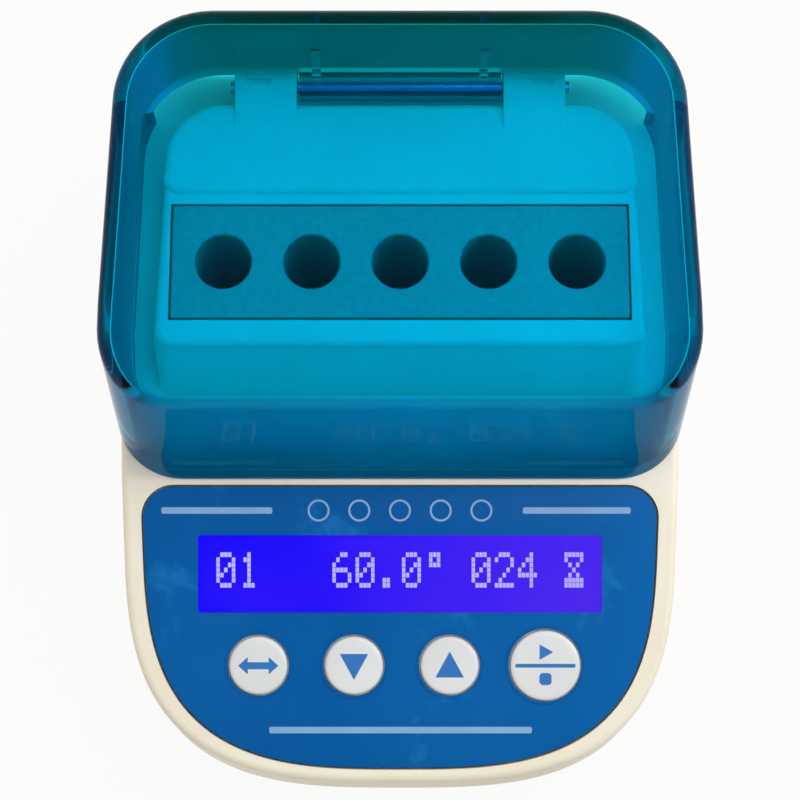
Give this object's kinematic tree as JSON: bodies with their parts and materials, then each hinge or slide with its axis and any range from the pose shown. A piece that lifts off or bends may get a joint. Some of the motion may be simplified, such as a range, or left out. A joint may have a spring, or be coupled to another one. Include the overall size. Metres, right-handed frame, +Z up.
{
  "type": "biological indicator incubator",
  "caption": "Small bench incubator with a heating block for indicator vials, a tilted keypad console and a clear hinged lid.",
  "frame": {"origin": "on the table, under the centre of the case and lid", "axes": "+X to the right of someone facing the keypad, +Y from the keypad to the hinge, +Z up"},
  "size_m": [0.0923, 0.1168, 0.0685],
  "materials": {
    "case_plastic": "fine moulded texture, warm off-white",
    "lid_plastic": "clear tinted blue, polished",
    "panel_film": "printed film under clear gloss",
    "key_white": "satin embossed film",
    "clear_pane": "clear polished pane",
    "display_blue": "backlit character display",
    "aluminium": "bead-blasted, matte",
    "steel": "plain bright steel",
    "board_green": "solder-masked circuit board",
    "black_plastic": "moulded black plastic",
    "rubber": "soft grippy rubber",
    "silicone": "orange-red silicone heater sheet",
    "foam": "closed-cell foam",
    "wire_red": "insulated wire"
  },
  "bodies": {
    "case": {"block_insulation": "foam", "board_screw_1": "steel", "board_screw_2": "steel", "board_screw_3": "steel", "board_screw_4": "steel", "buzzer": "black_plastic", "case_screw_1": "steel", "case_screw_2": "steel", "case_screw_3": "steel", "case_screw_4": "steel", "display_header": "black_plastic", "display_window": "clear_pane", "foot_1": "rubber", "foot_2": "rubber", "foot_3": "rubber", "foot_4": "rubber", "heat_sink": "aluminium", "heater_lead": "wire_red", "heater_pad": "silicone", "heater_transistor": "black_plastic", "heating_block": "aluminium", "hinge_pin": "steel", "keypad_backing": "foam", "keypad_overlay": "panel_film", "lcd_bezel": "black_plastic", "lcd_board": "board_green", "lcd_glass": "display_blue", "lcd_screw_1": "steel", "lcd_screw_2": "steel", "lcd_screw_3": "steel", "lcd_screw_4": "steel", "lower_case": "case_plastic", "main_board": "board_green", "power_socket": "black_plastic", "probe_lead": "black_plastic", "processor": "black_plastic", "snap_dome_1": "steel", "snap_dome_2": "steel", "snap_dome_3": "steel", "snap_dome_4": "steel", "socket_nut": "steel", "supply_capacitor": "aluminium", "supply_lead": "wire_red", "switch_housing": "black_plastic", "temperature_probe": "steel", "thermal_cutout": "black_plastic", "upper_case": "case_plastic", "wire_header": "key_white"},
    "lid": {"lid": "lid_plastic"},
    "menu_key": {"key_menu": "key_white"},
    "down_key": {"key_down": "key_white"},
    "up_key": {"key_up": "key_white"},
    "start_key": {"key_start": "key_white"},
    "rocker": {"switch_rocker": "black_plastic"}
  },
  "joints": [
    {"name": "lid_hinge", "type": "hinge", "parent": "case", "child": "lid", "pos_m": [0, 0.053, 0.04732], "axis": [-1, 0, 0], "range_deg": [0, 92]},
    {"name": "menu_press", "type": "slide", "parent": "case", "child": "menu_key", "axis": [0, 0.2588, -0.9659], "range_m": [0, 0.0003], "stiffness_N_per_m": 1500, "springref_m": -0.0002},
    {"name": "down_press", "type": "slide", "parent": "case", "child": "down_key", "axis": [0, 0.2588, -0.9659], "range_m": [0, 0.0003], "stiffness_N_per_m": 1500, "springref_m": -0.0002},
    {"name": "up_press", "type": "slide", "parent": "case", "child": "up_key", "axis": [0, 0.2588, -0.9659], "range_m": [0, 0.0003], "stiffness_N_per_m": 1500, "springref_m": -0.0002},
    {"name": "start_press", "type": "slide", "parent": "case", "child": "start_key", "axis": [0, 0.2588, -0.9659], "range_m": [0, 0.0003], "stiffness_N_per_m": 1500, "springref_m": -0.0002},
    {"name": "rocker_tip", "type": "hinge", "parent": "case", "child": "rocker", "pos_m": [0.015, 0.0544, 0.026], "axis": [0, 0, 1], "range_deg": [0, 18]}
  ]
}
